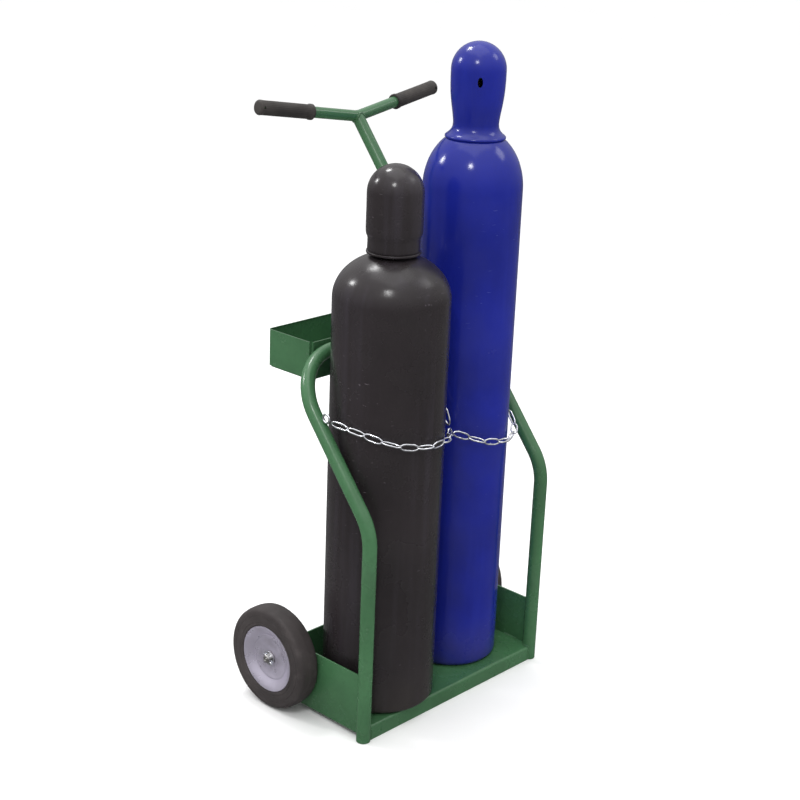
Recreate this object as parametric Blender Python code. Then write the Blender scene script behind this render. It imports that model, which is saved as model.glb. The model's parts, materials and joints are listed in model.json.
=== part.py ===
"""Two-wheeled hand cart that carries an oxygen and an acetylene cylinder.

Metres, +Z up. The operator's handle is at the rear (+Y), the open front of the base tray faces -Y,
and the ground is z = 0. X is the cart's width, symmetric about x = 0. The pieces are laid out with
y = 0 in the plane of the two upright legs, and main() then moves them all so that the origin is at
the bottom centre of the whole cart.
"""

import math

import bmesh
import bpy
from mathutils import Matrix, Vector

GAP = 0.0003                      # clearance between pieces that touch
ORIGIN_Y = 0.1486                 # from the legs' plane back to the middle of the cart's depth

# frame tubing
LEG_X = 0.229                     # half the spacing of the two legs
TUBE_R = 0.0127
TUBE_WALL = 0.0018
KNEE_Z = 0.400                    # where the legs start to lean back
BAR_Y = 0.2075                    # cross bar that joins the legs
BAR_Z = 0.6515
KNEE_BEND = 0.095
BAR_BEND = 0.105

# base tray of steel sheet
SHEET = 0.003
FLOOR_TOP = 0.028
LIP_FRONT_Y = -0.008
FOLD_R = 0.005
WALL_BOTTOM = 0.009
WALL_TOP = 0.123
REAR_WALL_Y = 0.1935
SIDE_REAR_Y = 0.223
SIDE_INNER_X = LEG_X - SHEET / 2

# mast and handle
MAST_R = 0.0111
MAST_WALL = 0.0016
MAST_Y = 0.182
MAST_BEND_Z = 0.909
MAST_BEND = 0.060
HANDLE_MID = Vector((0.0, 0.2866, 1.0374))
HANDLE_END = Vector((0.2130, 0.3067, 1.0683))
HANDLE_R = 0.0098
HANDLE_WALL = 0.0015
GRIP_R = 0.0126
GRIP_INNER_X = 0.103
GRIP_CAP = 0.004

# tool tray behind the cross bar
TRAY_HALF_X = 0.164
TRAY_TOP = 0.667
TRAY_DEEP = 0.070
TRAY_REAR_Y = 0.333
TRAY_SHEET = 0.002
TRAY_CORNER = 0.005

# wheels and axle
WHEEL_R = 0.096
WHEEL_W = 0.0435
WHEEL_OUTER_X = 0.2765
AXLE_R = 0.0079
AXLE_Y = REAR_WALL_Y + SHEET + GAP + AXLE_R
AXLE_TIP_X = 0.2765
RIM_R = 0.062
DISH_R = 0.042
HUB_BORE_R = AXLE_R + 0.0002
HUB_R = 0.0125
DISC_SHEET = 0.0016
HUB_RECESS = 0.0085               # how far the hub's ends sit inside the tyre's sides
DISH_DEEP = 0.012
WASHER_R = 0.0135
WASHER_T = 0.0018
PIN_R = 0.0014

# cylinders, each standing on the tray floor
STAND_Z = FLOOR_TOP + GAP
BLACK_AXIS = (-0.1125, 0.081)
BLUE_AXIS = (0.107, 0.103)
NECK_FILLET = 0.002
CHAIN_R = 0.0055

# colours: base colour, roughness, metallic
GREEN = ("green_paint", (0.055, 0.20, 0.075), 0.35, 0.0)
DARK_GAS = ("acetylene_paint", (0.022, 0.016, 0.015), 0.35, 0.0)
BLUE_GAS = ("oxygen_paint", (0.01, 0.018, 0.27), 0.25, 0.0)
RUBBER = ("tyre_rubber", (0.035, 0.032, 0.033), 0.7, 0.0)
GRIP = ("grip_rubber", (0.03, 0.028, 0.028), 0.6, 0.0)
DISC = ("wheel_disc_paint", (0.36, 0.34, 0.42), 0.35, 0.6)
ZINC = ("zinc_plate", (0.62, 0.63, 0.65), 0.3, 1.0)
STEEL = ("bare_steel", (0.45, 0.45, 0.46), 0.4, 1.0)
BRASS = ("brass", (0.70, 0.50, 0.20), 0.3, 1.0)
NYLON = ("nylon_bush", (0.75, 0.74, 0.70), 0.5, 0.0)


def material(spec):
    name, colour, roughness, metallic = spec
    found = bpy.data.materials.get(name)
    if found:
        return found
    made = bpy.data.materials.new(name)
    made.use_nodes = True
    shader = made.node_tree.nodes["Principled BSDF"]
    shader.inputs["Base Color"].default_value = (*colour, 1.0)
    shader.inputs["Roughness"].default_value = roughness
    shader.inputs["Metallic"].default_value = metallic
    return made


def finish(name, mesh_builder, spec, place=None, smooth_deg=40.0):
    """Turn a bmesh into a named object with a material and smooth shading."""
    bmesh.ops.recalc_face_normals(mesh_builder, faces=mesh_builder.faces)
    mesh = bpy.data.meshes.new(name)
    mesh_builder.to_mesh(mesh)
    mesh_builder.free()
    mesh.shade_smooth()
    mesh.set_sharp_from_angle(angle=math.radians(smooth_deg))
    made = bpy.data.objects.new(name, mesh)
    made.data.materials.append(material(spec))
    if place is not None:
        made.matrix_world = place
    bpy.context.scene.collection.objects.link(made)
    return made


def turned(profile, sides):
    """Spin an (r, z) outline about Z. A point with r = 0 lies on the axis."""
    builder = bmesh.new()
    points = [builder.verts.new((r, 0.0, z)) for r, z in profile]
    edges = [builder.edges.new(pair) for pair in zip(points, points[1:])]
    closed = profile[0][0] > 0.0 and profile[-1][0] > 0.0
    if closed:
        edges.append(builder.edges.new((points[-1], points[0])))
    bmesh.ops.spin(builder, geom=points + edges, cent=(0, 0, 0), axis=(0, 0, 1),
                   angle=math.tau, steps=sides, use_merge=True)
    bmesh.ops.remove_doubles(builder, verts=builder.verts, dist=1e-6)
    return builder


def arc(centre, radius, start_deg, end_deg, steps):
    """Points of a circular arc in the (r, z) plane."""
    points = []
    for i in range(steps + 1):
        angle = math.radians(start_deg + (end_deg - start_deg) * i / steps)
        points.append((centre[0] + radius * math.cos(angle), centre[1] + radius * math.sin(angle)))
    return points


def ring_profile(inner, outer, low, high):
    return [(inner, low), (outer, low), (outer, high), (inner, high)]


def hex_nut(bore, flat_r, low, high):
    """Nut with a round bore: flat_r is half the distance across its flats."""
    builder = turned(ring_profile(bore, flat_r, low, high), 24)
    for vert in builder.verts:
        reach = math.hypot(vert.co.x, vert.co.y)
        if reach > (bore + flat_r) / 2:
            beyond_flat = math.atan2(vert.co.y, vert.co.x) % (math.pi / 3) - math.pi / 6
            stretch = 1.0 / math.cos(beyond_flat)
            vert.co.x *= stretch
            vert.co.y *= stretch
    return builder


def rounded_path(corners, radii, steps=5):
    """Straight runs joined by tangent arcs: one radius for each inner corner."""
    path = [Vector(corners[0])]
    for before, corner, after, radius in zip(corners, corners[1:], corners[2:], radii):
        corner = Vector(corner)
        towards = (Vector(before) - corner).normalized()
        onwards = (Vector(after) - corner).normalized()
        half = towards.angle(onwards) / 2
        reach = radius / math.tan(half)
        centre = corner + (towards + onwards).normalized() * (radius / math.sin(half))
        start = corner + towards * reach
        turn = math.pi - 2 * half
        normal = onwards.cross(towards).normalized()
        for i in range(steps + 1):
            path.append(centre + Matrix.Rotation(turn * i / steps, 3, normal) @ (start - centre))
    path.append(Vector(corners[-1]))
    return path


def smooth_route(points, steps=4):
    """Catmull-Rom curve through hand-chosen points."""
    points = [Vector(p) for p in points]
    padded = [2 * points[0] - points[1]] + points + [2 * points[-1] - points[-2]]
    route = []
    for a, b, c, d in zip(padded, padded[1:], padded[2:], padded[3:]):
        for i in range(steps):
            t = i / steps
            route.append(0.5 * (2 * b + (c - a) * t + (2 * a - 5 * b + 4 * c - d) * t ** 2
                                + (3 * b - a - 3 * c + d) * t ** 3))
    route.append(points[-1])
    return route


def ring_frames(path, side_axis):
    """For each point of the path: the point and two directions across the tube."""
    frames = []
    runs = [(after - before).normalized() for before, after in zip(path, path[1:])]
    for point, arriving, leaving in zip(path, [runs[0]] + runs, runs + [runs[-1]]):
        ahead = (arriving + leaving).normalized()
        across = (side_axis - ahead * ahead.dot(side_axis)).normalized()
        side_axis = across
        frames.append((point, across, ahead.cross(across)))
    return frames


def loops_along(builder, frames, radius, sides):
    loops = []
    for point, across, up in frames:
        loop = []
        for k in range(sides):
            angle = math.tau * (k + 0.5) / sides
            spoke = across * math.cos(angle) + up * math.sin(angle)
            loop.append(builder.verts.new(point + spoke * radius))
        loops.append(loop)
    return loops


def bridge(builder, low, high):
    count = len(low)
    for k in range(count):
        builder.faces.new((low[k], low[(k + 1) % count], high[(k + 1) % count], high[k]))


def swept(path, radius, sides, side_axis, wall=None):
    """A round tube along a path: hollow with open ends if a wall is given, else solid."""
    builder = bmesh.new()
    frames = ring_frames(path, Vector(side_axis))
    outer = loops_along(builder, frames, radius, sides)
    for low, high in zip(outer, outer[1:]):
        bridge(builder, low, high)
    if wall is None:
        builder.faces.new(outer[0])
        builder.faces.new(outer[-1])
        return builder
    inner = loops_along(builder, frames, radius - wall, sides)
    for low, high in zip(inner, inner[1:]):
        bridge(builder, high, low)
    bridge(builder, inner[0], outer[0])
    bridge(builder, outer[-1], inner[-1])
    return builder


def box(low, high):
    builder = bmesh.new()
    bmesh.ops.create_cube(builder, size=1.0)
    size = [b - a for a, b in zip(low, high)]
    middle = [(a + b) / 2 for a, b in zip(low, high)]
    bmesh.ops.scale(builder, vec=size, verts=builder.verts)
    bmesh.ops.translate(builder, vec=middle, verts=builder.verts)
    return builder


def edges_along(builder, axis, keep=lambda middle: True):
    """Edges parallel to an axis whose middle passes a test."""
    found = []
    for edge in builder.edges:
        run = edge.verts[1].co - edge.verts[0].co
        if abs(run[axis]) > 0.999 * run.length and keep((edge.verts[0].co + edge.verts[1].co) / 2):
            found.append(edge)
    return found


def extruded(outline, axis_matrix, depth):
    """A flat outline pushed out by a depth along its own normal, then placed."""
    builder = bmesh.new()
    face = builder.faces.new([builder.verts.new((x, y, 0.0)) for x, y in outline])
    pushed = bmesh.ops.extrude_face_region(builder, geom=[face])
    moved = [item for item in pushed["geom"] if isinstance(item, bmesh.types.BMVert)]
    bmesh.ops.translate(builder, vec=(0, 0, depth), verts=moved)
    bmesh.ops.transform(builder, matrix=axis_matrix, verts=builder.verts)
    return builder


def cutter(name, builder):
    made = finish(name, builder, STEEL)
    made.hide_render = True
    made.display_type = "WIRE"
    return made


def cut(piece, tool):
    change = piece.modifiers.new("cut_" + tool.name, "BOOLEAN")
    change.operation = "DIFFERENCE"
    change.object = tool
    change.solver = "EXACT"


def rod(low, high, radius, sides):
    """Solid round bar between two points."""
    low = Vector(low)
    high = Vector(high)
    return swept([low, high], radius, sides, Vector((0.31, 0.17, 0.95)).cross(high - low))


def torus_at(centre, normal, major, minor, around, section):
    """A welded wire ring."""
    builder = turned(arc((major, 0.0), minor, 0, 360 - 360 / section, section - 1), around)
    turn = Vector((0, 0, 1)).rotation_difference(Vector(normal)).to_matrix().to_4x4()
    bmesh.ops.transform(builder, matrix=Matrix.Translation(centre) @ turn, verts=builder.verts)
    return builder


# ---------------------------------------------------------------- frame

def leg_point(side, z):
    """Centre of a leg tube at a height, on its leaning run above the knee."""
    lean = BAR_Y / (BAR_Z - KNEE_Z)
    return Vector((side * LEG_X, max(0.0, (z - KNEE_Z) * lean), z))


def make_hoop():
    corners = [(-LEG_X, 0, 0), (-LEG_X, 0, KNEE_Z), (-LEG_X, BAR_Y, BAR_Z),
               (LEG_X, BAR_Y, BAR_Z), (LEG_X, 0, KNEE_Z), (LEG_X, 0, 0)]
    path = rounded_path(corners, [KNEE_BEND, BAR_BEND, BAR_BEND, KNEE_BEND])
    finish("frame_hoop", swept(path, TUBE_R, 14, (0, -1, 0), TUBE_WALL), GREEN)


def make_floor(leg_cutters):
    """Floor sheet with its front edge folded down to the ground."""
    inner_r = FOLD_R - SHEET
    fold = (LIP_FRONT_Y + FOLD_R, FLOOR_TOP - FOLD_R)
    outline = [(LIP_FRONT_Y, 0.0)]
    outline += arc(fold, FOLD_R, 180, 90, 4)
    outline += [(REAR_WALL_Y - GAP, FLOOR_TOP), (REAR_WALL_Y - GAP, FLOOR_TOP - SHEET)]
    outline += arc(fold, inner_r, 90, 180, 4)
    outline += [(LIP_FRONT_Y + SHEET, 0.0)]
    half = SIDE_INNER_X - GAP
    across = Matrix(((0, 0, 1, -half), (1, 0, 0, 0), (0, 1, 0, 0), (0, 0, 0, 1)))
    floor = finish("floor_plate", extruded(outline, across, 2 * half), GREEN)
    for tool in leg_cutters:
        cut(floor, tool)


def make_walls(axle_cutter):
    half = SIDE_INNER_X - GAP
    finish("rear_plate", box((-half, REAR_WALL_Y, WALL_BOTTOM), (half, REAR_WALL_Y + SHEET, WALL_TOP)), GREEN)
    for side, word in ((-1, "left"), (1, "right")):
        near, far = sorted((side * SIDE_INNER_X, side * (SIDE_INNER_X + SHEET)))
        builder = box((near, TUBE_R + GAP, WALL_BOTTOM), (far, SIDE_REAR_Y, WALL_TOP))
        rear = edges_along(builder, 0, lambda middle: middle.y > REAR_WALL_Y)
        bmesh.ops.bevel(builder, geom=rear, offset=0.011, segments=5, affect="EDGES")
        cut(finish(word + "_side_plate", builder, GREEN), axle_cutter)


def make_tray():
    """Open-topped tool box welded to the back of the cross bar."""
    front = BAR_Y + TUBE_R + GAP
    builder = box((-TRAY_HALF_X, front, TRAY_TOP - TRAY_DEEP), (TRAY_HALF_X, TRAY_REAR_Y, TRAY_TOP))
    bmesh.ops.bevel(builder, geom=edges_along(builder, 2), offset=TRAY_CORNER, segments=3, affect="EDGES")
    top = [face for face in builder.faces if face.normal.z > 0.99]
    bmesh.ops.delete(builder, geom=top, context="FACES_ONLY")
    tray = finish("tool_tray", builder, GREEN)
    shell = tray.modifiers.new("sheet", "SOLIDIFY")
    shell.thickness = TRAY_SHEET
    shell.offset = -1.0
    shell.use_even_offset = True


def handle_point(side, distance):
    """A point on the handle bar's centre line, measured out from the middle along x."""
    return HANDLE_MID.lerp(Vector((side * HANDLE_END.x, HANDLE_END.y, HANDLE_END.z)), distance / HANDLE_END.x)


def make_mast_and_handle():
    lean = (HANDLE_MID - Vector((0, MAST_Y, MAST_BEND_Z))).normalized()
    foot = (0, MAST_Y, STAND_Z)
    bend = (0, MAST_Y, MAST_BEND_Z)
    path = rounded_path([foot, bend, HANDLE_MID], [MAST_BEND])
    mast = finish("mast_tube", swept(path, MAST_R, 14, (1, 0, 0), MAST_WALL), GREEN)

    ends = [handle_point(-1, HANDLE_END.x), HANDLE_MID, handle_point(1, HANDLE_END.x)]
    bar_path = rounded_path(ends, [0.06], steps=4)
    finish("handle_bar", swept(bar_path, HANDLE_R, 14, lean, HANDLE_WALL), GREEN)
    cut(mast, cutter("handle_clearance", swept(bar_path, HANDLE_R + GAP, 28, lean)))

    for side, word in ((-1, "left"), (1, "right")):
        finish(word + "_grip", grip(side), GRIP)


def grip(side):
    """Rubber sleeve, closed over the end of the handle tube."""
    start = handle_point(side, GRIP_INNER_X)
    tip = handle_point(side, HANDLE_END.x)
    length = (tip - start).length
    bore = HANDLE_R + GAP
    outline = [(0.0, length + GAP), (bore, length + GAP), (bore, 0.0), (GRIP_R - 0.0008, 0.0), (GRIP_R, 0.0012)]
    outline += arc((GRIP_R - 0.003, length + GRIP_CAP - 0.003), 0.003, 0, 90, 2)
    outline += [(0.0, length + GRIP_CAP)]
    builder = turned(outline, 18)
    turn = Vector((0, 0, 1)).rotation_difference(tip - start).to_matrix().to_4x4()
    bmesh.ops.transform(builder, matrix=Matrix.Translation(start) @ turn, verts=builder.verts)
    return builder


# ---------------------------------------------------------------- wheels

def along_x(side, x):
    """Places a piece turned about Z so that its axis lies on the axle, +Z pointing outwards."""
    turn = Matrix.Rotation(side * math.pi / 2, 4, "Y")
    return Matrix.Translation((side * x, AXLE_Y, WHEEL_R)) @ turn


def tyre_outline():
    """Solid tyre: flat sidewalls, rounded shoulders and a slightly crowned tread."""
    half = WHEEL_W / 2
    shoulder = 0.009
    outline = [(RIM_R + GAP, -half + 0.003), (RIM_R + 0.004, -half)]
    outline += arc((WHEEL_R - 0.0012 - shoulder, -half + shoulder), shoulder, -90, -12, 2)
    outline += [(WHEEL_R, 0.0)]
    outline += arc((WHEEL_R - 0.0012 - shoulder, half - shoulder), shoulder, 12, 90, 2)
    outline += [(RIM_R + 0.004, half), (RIM_R + GAP, half - 0.003)]
    return outline


def disc_outline():
    """Dished steel disc, drawn with its outer face at the top and its middle at z = 0."""
    edge = RIM_R
    rise = DISH_DEEP
    top = [(HUB_R + GAP, DISC_SHEET), (DISH_R - 0.002, DISC_SHEET), (edge - 0.003, rise), (edge, rise)]
    under = [(edge, 0.0005), (edge - DISC_SHEET, 0.0005), (edge - DISC_SHEET, rise - DISC_SHEET),
             (edge - 0.0026, rise - DISC_SHEET), (DISH_R - 0.0015, 0.0), (HUB_R + GAP, 0.0)]
    return top + under


def make_wheel(side, word):
    middle = WHEEL_OUTER_X - WHEEL_W / 2
    finish(word + "_tyre", turned(tyre_outline(), 40), RUBBER, along_x(side, middle))
    face = WHEEL_W / 2 - 0.0015 - DISH_DEEP
    outer_place = along_x(side, middle + face)
    inner_place = along_x(side, middle - face) @ Matrix.Rotation(math.pi, 4, "X")
    finish(word + "_outer_disc", turned(disc_outline(), 30), DISC, outer_place)
    finish(word + "_inner_disc", turned(disc_outline(), 30), DISC, inner_place)
    hub_half = WHEEL_W / 2 - HUB_RECESS
    bush = HUB_BORE_R + 0.0018
    hub = turned(ring_profile(bush + 0.0002, HUB_R, -hub_half, hub_half), 20)
    finish(word + "_hub_sleeve", hub, STEEL, along_x(side, middle))
    bush_outline = turned(ring_profile(HUB_BORE_R, bush, -hub_half, hub_half), 20)
    finish(word + "_hub_bush", bush_outline, NYLON, along_x(side, middle))


def make_axle():
    """Straight steel axle through both side plates, held by washers and cotter pins."""
    middle = WHEEL_OUTER_X - WHEEL_W / 2
    hub_face = middle + WHEEL_W / 2 - HUB_RECESS
    washer_low = hub_face + GAP
    pin_x = washer_low + WASHER_T + GAP + PIN_R
    axle = finish("axle", axle_body(), STEEL)
    for side, word in ((-1, "left"), (1, "right")):
        hole = rod((side * pin_x, AXLE_Y - 0.02, WHEEL_R - 0.016), (side * pin_x, AXLE_Y + 0.02, WHEEL_R + 0.016),
                   PIN_R + GAP, 16)
        cut(axle, cutter(word + "_pin_hole", hole))
        pin = rod((side * pin_x, AXLE_Y - 0.0115, WHEEL_R - 0.0092),
                  (side * pin_x, AXLE_Y + 0.0115, WHEEL_R + 0.0092), PIN_R, 8)
        finish(word + "_cotter_pin", pin, ZINC)
        washer = turned(ring_profile(AXLE_R + 0.0002, WASHER_R, 0.0, WASHER_T), 20)
        finish(word + "_axle_washer", washer, ZINC, along_x(side, washer_low))
        inner_room = middle - (WHEEL_W / 2 - HUB_RECESS) - GAP - (SIDE_INNER_X + SHEET + GAP)
        spacer = turned(ring_profile(AXLE_R + 0.0002, HUB_R, 0.0, inner_room), 20)
        finish(word + "_axle_spacer", spacer, ZINC, along_x(side, SIDE_INNER_X + SHEET + GAP))


def axle_body():
    tip = AXLE_TIP_X
    chamfer = 0.0015
    outline = [(0.0, -tip), (AXLE_R - chamfer, -tip), (AXLE_R, -tip + chamfer),
               (AXLE_R, tip - chamfer), (AXLE_R - chamfer, tip), (0.0, tip)]
    builder = turned(outline, 20)
    bmesh.ops.transform(builder, matrix=along_x(1, 0.0), verts=builder.verts)
    return builder


# ---------------------------------------------------------------- gas cylinders

def shell_outline(radius, dome_low, dome_rise, neck_r, neck_top, wall, bore_r):
    """Bottle: rounded foot, straight wall, elliptical shoulder, neck with a bore."""
    foot = 0.012
    base = STAND_Z
    neck_base = dome_low + dome_rise * math.sqrt(1 - (neck_r / radius) ** 2)
    outline = [(0.0, base)]
    outline += arc((radius - foot, base + foot), foot, -90, 0, 3)
    steps = 6
    limit = math.acos(neck_r / radius)
    for i in range(steps + 1):
        angle = limit * i / steps
        outline.append((radius * math.cos(angle), dome_low + dome_rise * math.sin(angle)))
    outline += [(neck_r - NECK_FILLET, neck_base + NECK_FILLET), (neck_r - NECK_FILLET, neck_top), (bore_r, neck_top)]
    inside_r = radius - wall
    inside_rise = dome_rise - wall
    inside_limit = math.acos(bore_r / inside_r)
    outline.append((bore_r, neck_base - wall))
    for i in range(4, -1, -1):
        angle = inside_limit * i / 5
        outline.append((inside_r * math.cos(angle), dome_low + inside_rise * math.sin(angle)))
    outline += [(inside_r, base + foot + wall), (inside_r - 0.012, base + wall + 0.002), (0.0, base + wall + 0.002)]
    return outline


def cap_outline(points, wall):
    """Closed-top cap from its outer outline, listed from the rim up to the crown."""
    inner = []
    for (r0, z0), (r1, z1), (r2, z2) in zip(points, points[1:], points[2:]):
        along = Vector((r2 - r0, z2 - z0)).normalized()
        inner.append((max(r1 - wall * along.y, 0.0), z1 + wall * along.x))
    rim_r, rim_z = points[0]
    inner_rim = (rim_r - wall, rim_z)
    crown = (0.0, points[-1][1] - wall)
    return [crown] + inner[::-1] + [inner_rim] + list(points)


def place_at(axis):
    return Matrix.Translation((axis[0], axis[1], 0.0))


def make_cap(name, axis, outline, wall, vent_z, vent_deg, spec):
    cap = finish(name, turned(cap_outline(outline, wall), 28), spec, place_at(axis))
    middle = Vector((axis[0], axis[1], vent_z))
    reach = Vector((math.cos(math.radians(vent_deg)), math.sin(math.radians(vent_deg)), 0.0)) * 0.08
    builder = rod(middle - reach, middle + reach, 0.0045, 16)
    bmesh.ops.scale(builder, vec=(1, 1, 1.9), verts=builder.verts, space=Matrix.Translation(-middle))
    cut(cap, cutter(name + "_vents", builder))


def make_valve(gas, axis, seat_z, height, outlet_deg, spec):
    """Valve screwed in the neck: body, bonnet nut, spindle, handwheel, safety plug and outlet."""
    place = place_at(axis)
    stem_r = 0.0118
    body_r = 0.0145
    body_top = seat_z + height * 0.62
    outlet_z = seat_z + height * 0.30
    outline = [(0.0, seat_z - 0.020), (stem_r - 0.0015, seat_z - 0.020), (stem_r, seat_z - 0.018), (stem_r, seat_z + GAP),
               (body_r + 0.002, seat_z + GAP), (body_r + 0.002, seat_z + 0.006), (body_r, seat_z + 0.008),
               (body_r, body_top - 0.006), (body_r - 0.003, body_top - 0.003), (body_r - 0.003, body_top), (0.0, body_top)]
    body = finish(gas + "_valve_body", turned(outline, 18), BRASS, place)
    direction = Vector((math.cos(math.radians(outlet_deg)), math.sin(math.radians(outlet_deg)), 0.0))
    centre = Vector((axis[0], axis[1], outlet_z))
    outlet = rod(centre, centre + direction * 0.031, 0.0098, 16)
    outlet_piece = cutter(gas + "_outlet_form", outlet)
    join = body.modifiers.new("outlet", "BOOLEAN")
    join.operation = "UNION"
    join.object = outlet_piece
    cut(body, cutter(gas + "_outlet_bore", rod(centre + direction * 0.012, centre + direction * 0.04, 0.0055, 16)))
    pocket = rod(centre - direction * 0.009, centre - direction * 0.03, 0.0052, 12)
    cut(body, cutter(gas + "_plug_pocket", pocket))
    plug = rod(centre - direction * 0.0093, centre - direction * 0.022, 0.0048, 6)
    finish(gas + "_safety_plug", plug, BRASS)

    bonnet_top = body_top + 0.009
    bonnet = hex_nut(0.0041, 0.0095, body_top + GAP, bonnet_top)
    finish(gas + "_bonnet_nut", bonnet, BRASS, place, smooth_deg=20)
    wheel_z = bonnet_top + 0.006
    top = wheel_z + 0.0115
    spindle = [(0.0, body_top + GAP), (0.0038, body_top + GAP), (0.0038, top), (0.0, top)]
    finish(gas + "_valve_spindle", turned(spindle, 14), STEEL, place)
    finish(gas + "_handwheel", turned(handwheel_outline(wheel_z), 24), spec, place)
    nut = hex_nut(0.0041, 0.0062, wheel_z + 0.0062, wheel_z + 0.0105)
    finish(gas + "_handwheel_nut", nut, ZINC, place, smooth_deg=20)


def handwheel_outline(low):
    """Cast handwheel: hub, thin web and a round rim."""
    rim = arc((0.0245, low + 0.004), 0.004, -150, 150, 5)
    return [(0.0041, low), (0.0095, low), (0.0095, low + 0.0025)] + rim + [(0.0095, low + 0.0045), (0.0095, low + 0.0059),
                                                                              (0.0041, low + 0.0059)]


def neck_ring_outline(inner, outer, low, high, flange_r):
    """Threaded collar that the cap screws on, with a flange under the cap's rim."""
    flange_top = low + 0.0040
    return [(inner, low), (flange_r, low), (flange_r, flange_top), (outer, flange_top + 0.0002), (outer, high),
            (inner, high)]


def make_cylinder(gas, axis, spec, radius, dome_low, dome_rise, neck_top, ring_r, flange_r):
    neck_r = 0.030
    outline = shell_outline(radius, dome_low, dome_rise, neck_r, neck_top, 0.0062, 0.0122)
    finish(gas + "_cylinder_shell", turned(outline, 36), spec, place_at(axis))
    ring_low = dome_low + dome_rise * math.sqrt(1 - (neck_r / radius) ** 2) + NECK_FILLET + GAP
    inner = neck_r - NECK_FILLET + GAP
    collar = turned(neck_ring_outline(inner, ring_r, ring_low, neck_top, flange_r), 28)
    finish(gas + "_neck_ring", collar, spec, place_at(axis))


def make_acetylene():
    make_cylinder("acetylene", BLACK_AXIS, DARK_GAS, 0.1016, 0.770, 0.080, 0.866, 0.0405, 0.0465)
    rim = 0.8535
    bulge = 0.0480
    crown_z = 0.9505
    outline = [(0.0445, rim), (0.0445, rim + 0.020), (0.0470, rim + 0.026), (bulge, rim + 0.034)]
    outline += arc((0.0, crown_z), bulge, 0, 90, 7)[:-1] + [(0.0, crown_z + bulge)]
    make_cap("acetylene_cap", BLACK_AXIS, outline, 0.0030, 0.925, -47.0, DARK_GAS)
    make_valve("acetylene", BLACK_AXIS, 0.866, 0.095, 200.0, ZINC)


def make_oxygen():
    make_cylinder("oxygen", BLUE_AXIS, BLUE_GAS, 0.0889, 0.929, 0.106, 1.040, 0.0355, 0.0358)
    rim = 1.0168
    bulge = 0.0480
    crown_z = 1.1335
    outline = [(0.0535, rim), (0.0535, rim + 0.003), (0.0440, rim + 0.011), (0.0402, rim + 0.019),
               (0.0402, rim + 0.028), (0.0425, rim + 0.045), (0.0455, rim + 0.062), (0.0470, rim + 0.080)]
    outline += arc((0.0, crown_z), bulge, 0, 90, 7)[:-1] + [(0.0, crown_z + bulge)]
    make_cap("oxygen_cap", BLUE_AXIS, outline, 0.0030, 1.117, 45.0, BLUE_GAS)
    make_valve("oxygen", BLUE_AXIS, 1.040, 0.105, 130.0, GREEN)


# ---------------------------------------------------------------- retaining chain

LEFT_EYE_Z = 0.5575               # heights on the legs' centre lines where the chain eyes are welded
RIGHT_EYE_Z = 0.500
EYE_MAJOR = 0.0075
EYE_WIRE = 0.0020
MAST_EYE_Z = 0.800
JUNCTION = Vector((0.002, 0.036, 0.512))
RING_MAJOR = 0.0085
RING_WIRE = 0.0016

LEFT_ROUTE = [(-0.2275, 0.100, 0.5665), (-0.2240, 0.083, 0.5650), (-0.2180, 0.052, 0.5620), (-0.2070, 0.0250, 0.5550),
              (-0.1890, 0.0010, 0.5470), (-0.1680, -0.0150, 0.5410), (-0.1370, -0.0275, 0.5365),
              (-0.1070, -0.0300, 0.5345), (-0.0680, -0.0210, 0.5320), (-0.0390, -0.0020, 0.5270),
              (-0.0170, 0.0180, 0.5190), (-0.0070, 0.0280, 0.5145)]
RIGHT_ROUTE = [(0.0140, 0.0360, 0.5090), (0.0300, 0.0310, 0.5020), (0.0500, 0.0190, 0.4930), (0.0780, 0.0075, 0.4840),
               (0.1070, 0.0030, 0.4790), (0.1350, 0.0080, 0.4760), (0.1580, 0.0170, 0.4765),
               (0.1820, 0.0320, 0.4800), (0.1960, 0.0500, 0.4890), (0.2025, 0.0660, 0.4985)]
CENTRE_ROUTE = [(0.0050, 0.0420, 0.5260), (0.0060, 0.0660, 0.5780), (0.0050, 0.0950, 0.6410), (0.0030, 0.1240, 0.7090),
                (0.0000, 0.1520, 0.7850)]


EYE_REACH = GAP + EYE_MAJOR + EYE_WIRE


def leg_front():
    """Direction straight out of the front of a leg's leaning run."""
    along = (leg_point(1, BAR_Z) - leg_point(1, KNEE_Z)).normalized()
    return Vector((0, -along.z, along.y))


def make_chain():
    sideways = Vector((1, 0, 0))
    on_left = leg_point(-1, LEFT_EYE_Z) + leg_front() * (TUBE_R + EYE_REACH)
    on_right = leg_point(1, RIGHT_EYE_Z) - sideways * (TUBE_R + EYE_REACH)
    on_mast = Vector((0, MAST_Y - MAST_R - EYE_REACH, MAST_EYE_Z))
    for name, centre, normal in (("left_chain_eye", on_left, sideways), ("right_chain_eye", on_right, leg_front()),
                                 ("mast_chain_eye", on_mast, sideways)):
        finish(name, torus_at(centre, normal, EYE_MAJOR, EYE_WIRE, 16, 6), ZINC)
    finish("chain_ring", torus_at(JUNCTION, (0.35, -0.9, 0.1), RING_MAJOR, RING_WIRE, 18, 6), ZINC)
    for name, route in (("chain_left_span", LEFT_ROUTE), ("chain_right_span", RIGHT_ROUTE),
                        ("chain_centre_span", CENTRE_ROUTE)):
        finish(name, swept(smooth_route(route, 3), CHAIN_R, 8, (0, 0, 1)), ZINC)


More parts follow.
